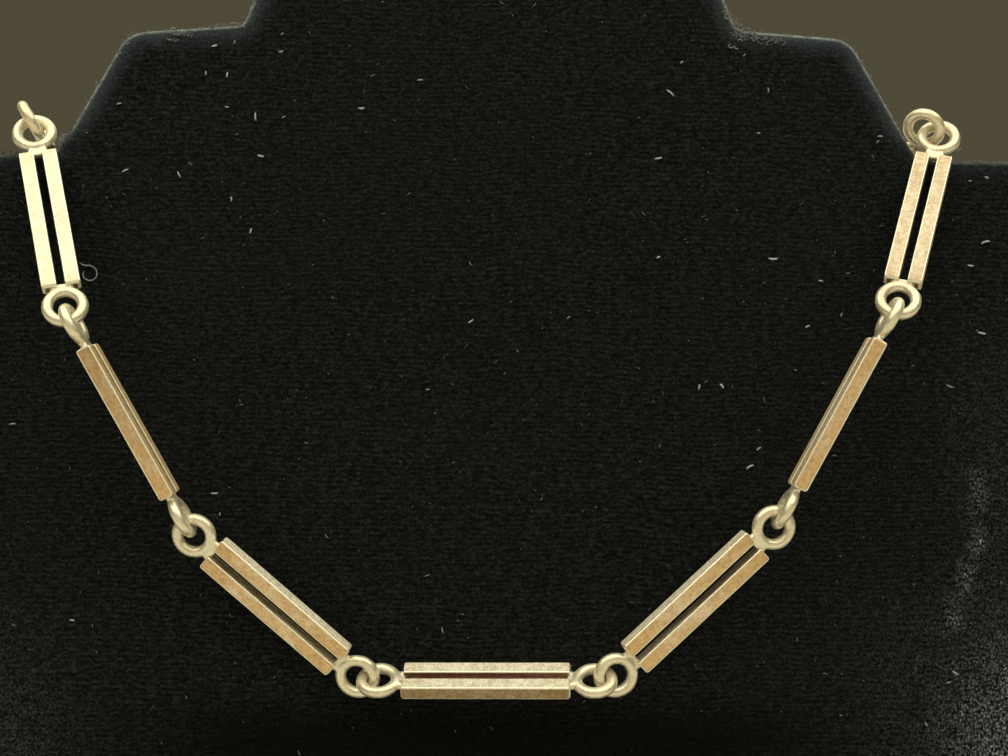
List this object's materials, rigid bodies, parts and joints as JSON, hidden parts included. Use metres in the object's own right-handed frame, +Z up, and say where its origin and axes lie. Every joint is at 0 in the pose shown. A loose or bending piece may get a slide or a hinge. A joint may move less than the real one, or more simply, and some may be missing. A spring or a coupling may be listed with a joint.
{
  "type": "link necklace on a neck display stand",
  "caption": "Silver necklace of long links, two square bars with a soldered ring at each end, hung on a stepped velvet neck display with a leg.",
  "frame": {"origin": "Middle of the flat lower edge that the display stands on, at floor level.", "axes": "+X runs to the viewer's right, +Y points away from the viewer and the display leans back that way, +Z is up."},
  "size_m": [0.1636, 0.0687, 0.19],
  "materials": {
    "silver": "satin silver with warm tarnish and bright worn edges",
    "velvet": "black short-pile velvet with a faint grey sheen",
    "backing": "matt black paper-covered board"
  },
  "bodies": {
    "root": {"link_01": "silver", "link_02": "silver", "link_03": "silver", "link_04": "silver", "link_05": "silver", "link_06": "silver", "link_07": "silver", "link_08": "silver", "link_09": "silver", "link_10": "silver", "link_11": "silver", "link_12": "silver", "link_13": "silver", "clasp": "silver", "display_board": "velvet", "easel_leg": "backing"}
  },
  "joints": []
}
